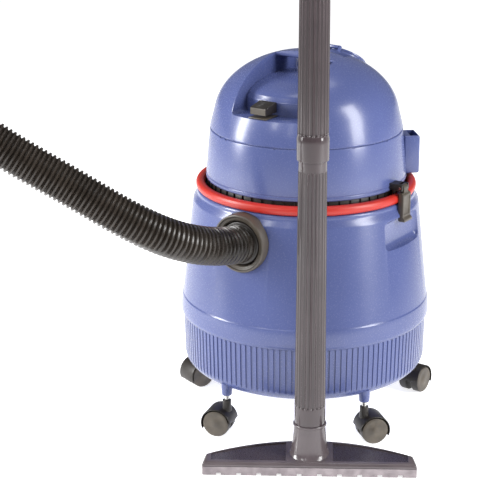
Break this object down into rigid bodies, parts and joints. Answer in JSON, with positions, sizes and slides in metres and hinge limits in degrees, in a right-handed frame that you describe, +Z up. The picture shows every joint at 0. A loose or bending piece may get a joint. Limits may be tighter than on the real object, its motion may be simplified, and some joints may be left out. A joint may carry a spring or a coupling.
{
  "type": "drum vacuum cleaner",
  "caption": "Drum vacuum cleaner for wet and dry pick-up: tapered tank on swivel castors, clamp-on motor head, ribbed hose, sectional wand with bent grip and wide floor nozzle.",
  "frame": {"origin": "centre of the tank's flat underside; the floor is 68 mm below it", "axes": "+Z up, -Y towards the hose inlet, +X to the machine's left-hand side seen from behind the inlet"},
  "size_m": [0.6941, 0.757, 1.1296],
  "materials": {
    "blue_plastic": "injection moulded, glossy",
    "red_plastic": "extruded trim, glossy",
    "black_plastic": "injection moulded, fine texture",
    "wand_plastic": "moulded, satin to glossy",
    "white_plastic": "injection moulded",
    "soft_rubber": "moulded",
    "hose_plastic": "wound corrugated",
    "castor_tread": "moulded",
    "steel": "turned and zinc plated",
    "motor_metal": "die cast and pressed",
    "filter_paper": "pleated",
    "strip": "squeegee and bristle strip"
  },
  "bodies": {
    "tank": {"tank_shell": "blue_plastic", "rim_ring": "red_plastic", "inlet_port": "black_plastic", "inlet_deflector": "black_plastic", "hose": "hose_plastic"},
    "inlet_cuff": {"inlet_cuff": "black_plastic"},
    "head": {"head_gasket": "soft_rubber", "head_base": "black_plastic", "head_housing": "blue_plastic", "tool_holder_right": "blue_plastic", "tool_holder_left": "blue_plastic", "head_cover": "blue_plastic", "cord_grommet": "black_plastic", "switch_frame": "black_plastic", "motor_seal": "soft_rubber", "turbine_housing": "motor_metal", "motor_body": "motor_metal", "motor_screw_1": "steel", "motor_screw_2": "steel", "motor_screw_3": "steel", "float_cage": "white_plastic", "filter_cartridge": "filter_paper", "filter_cap": "black_plastic", "latch_right_bracket": "black_plastic", "latch_left_bracket": "black_plastic"},
    "latch_right": {"latch_right_lever": "black_plastic", "latch_right_pin": "steel"},
    "latch_left": {"latch_left_lever": "black_plastic", "latch_left_pin": "steel"},
    "power_rocker": {"power_switch": "black_plastic"},
    "blower_cap": {"blower_cap": "blue_plastic", "blower_cap_pin": "steel"},
    "rotor": {"motor_shaft": "steel", "turbine_wheel": "motor_metal", "cooling_fan": "white_plastic"},
    "float": {"float_ball": "white_plastic"},
    "wand": {"lower_tube": "wand_plastic", "upper_tube": "wand_plastic", "hand_grip": "wand_plastic"},
    "nozzle": {"nozzle_body": "wand_plastic", "front_strip": "strip", "rear_strip_left": "strip", "rear_strip_right": "strip"},
    "air_regulator": {"air_regulator": "black_plastic"},
    "grip_cuff": {"grip_cuff": "black_plastic"},
    "castor_1": {"castor_housing_1": "black_plastic", "castor_stem_1": "steel"},
    "wheels_1": {"castor_wheels_1": "castor_tread"},
    "castor_2": {"castor_housing_2": "black_plastic", "castor_stem_2": "steel"},
    "wheels_2": {"castor_wheels_2": "castor_tread"},
    "castor_3": {"castor_housing_3": "black_plastic", "castor_stem_3": "steel"},
    "wheels_3": {"castor_wheels_3": "castor_tread"},
    "castor_4": {"castor_housing_4": "black_plastic", "castor_stem_4": "steel"},
    "wheels_4": {"castor_wheels_4": "castor_tread"},
    "castor_5": {"castor_housing_5": "black_plastic", "castor_stem_5": "steel"},
    "wheels_5": {"castor_wheels_5": "castor_tread"}
  },
  "joints": [
    {"name": "inlet_cuff_turn", "type": "hinge", "parent": "tank", "child": "inlet_cuff", "pos_m": [0, -0.1655, 0.2314], "axis": [0, 1, 0], "continuous": true},
    {"name": "head_lift", "type": "slide", "parent": "tank", "child": "head", "axis": [0, 0, 1], "range_m": [0, 0.25]},
    {"name": "latch_right_swing", "type": "hinge", "parent": "head", "child": "latch_right", "pos_m": [0.1632, 0, 0.2985], "axis": [0, -1, 0], "range_deg": [0, 75]},
    {"name": "latch_left_swing", "type": "hinge", "parent": "head", "child": "latch_left", "pos_m": [-0.1632, 0, 0.2985], "axis": [0, 1, 0], "range_deg": [0, 75]},
    {"name": "power_rocker", "type": "hinge", "parent": "head", "child": "power_rocker", "pos_m": [0, -0.101, 0.4085], "axis": [1, 0, 0], "range_deg": [0, 7]},
    {"name": "blower_cap_swing", "type": "hinge", "parent": "head", "child": "blower_cap", "pos_m": [0.00463, 0.06618, 0.47144], "axis": [0.9976, -0.0698, 0], "range_deg": [0, 95]},
    {"name": "rotor_spin", "type": "hinge", "parent": "head", "child": "rotor", "pos_m": [0, 0, 0.3083], "axis": [0, 0, 1], "continuous": true},
    {"name": "float_rise", "type": "slide", "parent": "head", "child": "float", "axis": [0, 0, 1], "range_m": [0, 0.078]},
    {"name": "castor_swivel_1", "type": "hinge", "parent": "tank", "child": "castor_1", "pos_m": [-0.02659, -0.16791, -0.0135], "axis": [0, 0, 1], "continuous": true},
    {"name": "wheel_roll_1", "type": "hinge", "parent": "castor_1", "child": "wheels_1", "pos_m": [-0.03821, -0.17093, -0.048], "axis": [0.2521, -0.9677, 0], "continuous": true},
    {"name": "castor_swivel_2", "type": "hinge", "parent": "tank", "child": "castor_2", "pos_m": [0.15147, -0.07718, -0.0135], "axis": [0, 0, 1], "continuous": true},
    {"name": "wheel_roll_2", "type": "hinge", "parent": "castor_2", "child": "wheels_2", "pos_m": [0.15928, -0.06807, -0.048], "axis": [-0.7593, 0.6508, 0], "continuous": true},
    {"name": "castor_swivel_3", "type": "hinge", "parent": "tank", "child": "castor_3", "pos_m": [0.12021, 0.12021, -0.0135], "axis": [0, 0, 1], "continuous": true},
    {"name": "wheel_roll_3", "type": "hinge", "parent": "castor_3", "child": "wheels_3", "pos_m": [0.12063, 0.1322, -0.048], "axis": [-0.9994, 0.0349, 0], "continuous": true},
    {"name": "castor_swivel_4", "type": "hinge", "parent": "tank", "child": "castor_4", "pos_m": [-0.07718, 0.15147, -0.0135], "axis": [0, 0, 1], "continuous": true},
    {"name": "wheel_roll_4", "type": "hinge", "parent": "castor_4", "child": "wheels_4", "pos_m": [-0.089, 0.15355, -0.048], "axis": [-0.1736, -0.9848, 0], "continuous": true},
    {"name": "castor_swivel_5", "type": "hinge", "parent": "tank", "child": "castor_5", "pos_m": [-0.16791, -0.02659, -0.0135], "axis": [0, 0, 1], "continuous": true},
    {"name": "wheel_roll_5", "type": "hinge", "parent": "castor_5", "child": "wheels_5", "pos_m": [-0.17201, -0.03787, -0.048], "axis": [0.9397, -0.342, 0], "continuous": true},
    {"name": "wand_lift", "type": "slide", "parent": "tank", "child": "wand", "axis": [0, 0, 1], "range_m": [0, 0.15], "deforming": ["hose"]},
    {"name": "nozzle_turn", "type": "hinge", "parent": "wand", "child": "nozzle", "pos_m": [0.13216, -0.19452, -0.02], "axis": [0, 0, 1], "range_deg": [-15, 15]},
    {"name": "air_regulator_turn", "type": "hinge", "parent": "wand", "child": "air_regulator", "pos_m": [0.07237, -0.23189, 0.91212], "axis": [-0.7344, -0.4589, 0.5], "range_deg": [0, 90]},
    {"name": "grip_cuff_turn", "type": "hinge", "parent": "wand", "child": "grip_cuff", "pos_m": [0.02904, -0.25896, 0.94162], "axis": [-0.7344, -0.4589, 0.5], "continuous": true}
  ]
}
